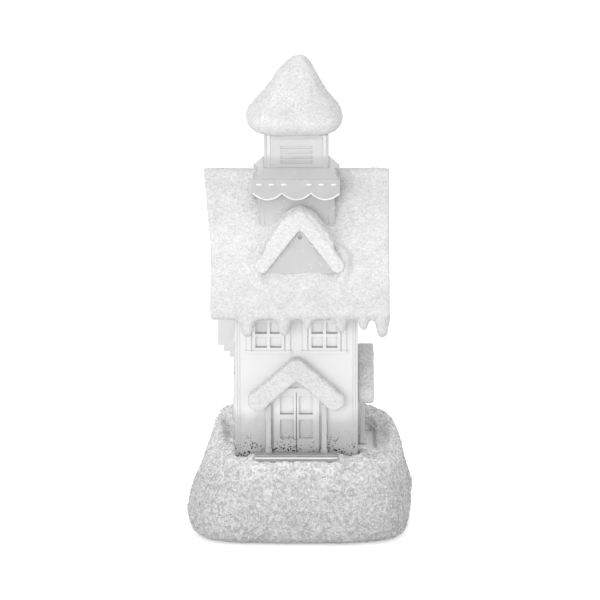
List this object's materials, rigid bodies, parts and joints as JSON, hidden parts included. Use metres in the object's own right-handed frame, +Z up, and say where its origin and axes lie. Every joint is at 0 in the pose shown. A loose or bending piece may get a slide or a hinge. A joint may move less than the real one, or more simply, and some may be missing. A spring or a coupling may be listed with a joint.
{
  "type": "light-up winter house",
  "caption": "Clear house with a snowy gabled roof, dormers and capped tower in a hollow glittered snow mound that holds lamps, a hinged battery bay and a slide switch.",
  "frame": {"origin": "on the table, under the middle of the mound's bounding box", "axes": "+Z up, the front door faces -Y, +X is to the right as seen from the front"},
  "size_m": [0.0888, 0.076, 0.1897],
  "materials": {
    "clear_acrylic": "clear, glossy",
    "frosted_acrylic": "clear, satin",
    "roof_snow": "fine white glitter",
    "mound_snow": "coarse clear glitter",
    "white_plastic": "moulded, satin",
    "board_lacquer": "lacquered board",
    "lamp_lens": "clear lens",
    "black_plastic": "moulded, satin",
    "resistor_ceramic": "fired",
    "steel": "nickel-plated",
    "cell_wrap": "plain printed sleeve",
    "red_insulation": "soft vinyl",
    "black_insulation": "soft vinyl",
    "blue_insulation": "soft vinyl",
    "foot_rubber": "soft"
  },
  "bodies": {
    "house": {"snow_base": "mound_snow", "house_walls": "clear_acrylic", "roof": "roof_snow", "front_dormer_gable": "clear_acrylic", "front_dormer_snow": "roof_snow", "rear_dormer_gable": "clear_acrylic", "rear_dormer_snow": "roof_snow", "tower_stage": "clear_acrylic", "tower_skirt": "frosted_acrylic", "belfry": "clear_acrylic", "tower_cap": "roof_snow", "front_canopy": "roof_snow", "side_canopy": "roof_snow", "front_step": "clear_acrylic", "side_step": "clear_acrylic", "oriel": "frosted_acrylic", "oriel_snow": "roof_snow", "light_deck": "white_plastic", "led_board": "board_lacquer", "leds": "lamp_lens", "driver_chip": "black_plastic", "resistors": "resistor_ceramic", "board_screws": "steel", "deck_screws": "steel", "base_plate": "white_plastic", "battery_1": "cell_wrap", "battery_2": "cell_wrap", "battery_3": "cell_wrap", "contact_springs": "steel", "contact_plates": "steel", "switch_body": "steel", "wire_red": "red_insulation", "wire_black": "black_insulation", "wire_blue": "blue_insulation", "base_screws": "steel", "rubber_feet": "foot_rubber"},
    "door": {"battery_door": "white_plastic"},
    "slider": {"switch_slider": "black_plastic"}
  },
  "joints": [
    {"name": "battery_door_hinge", "type": "hinge", "parent": "house", "child": "door", "pos_m": [-0.02352, 0, 0.0024], "axis": [0, 1, 0], "range_deg": [0, 95]},
    {"name": "switch_slide", "type": "slide", "parent": "house", "child": "slider", "axis": [1, 0, 0], "range_m": [0, 0.003]}
  ]
}
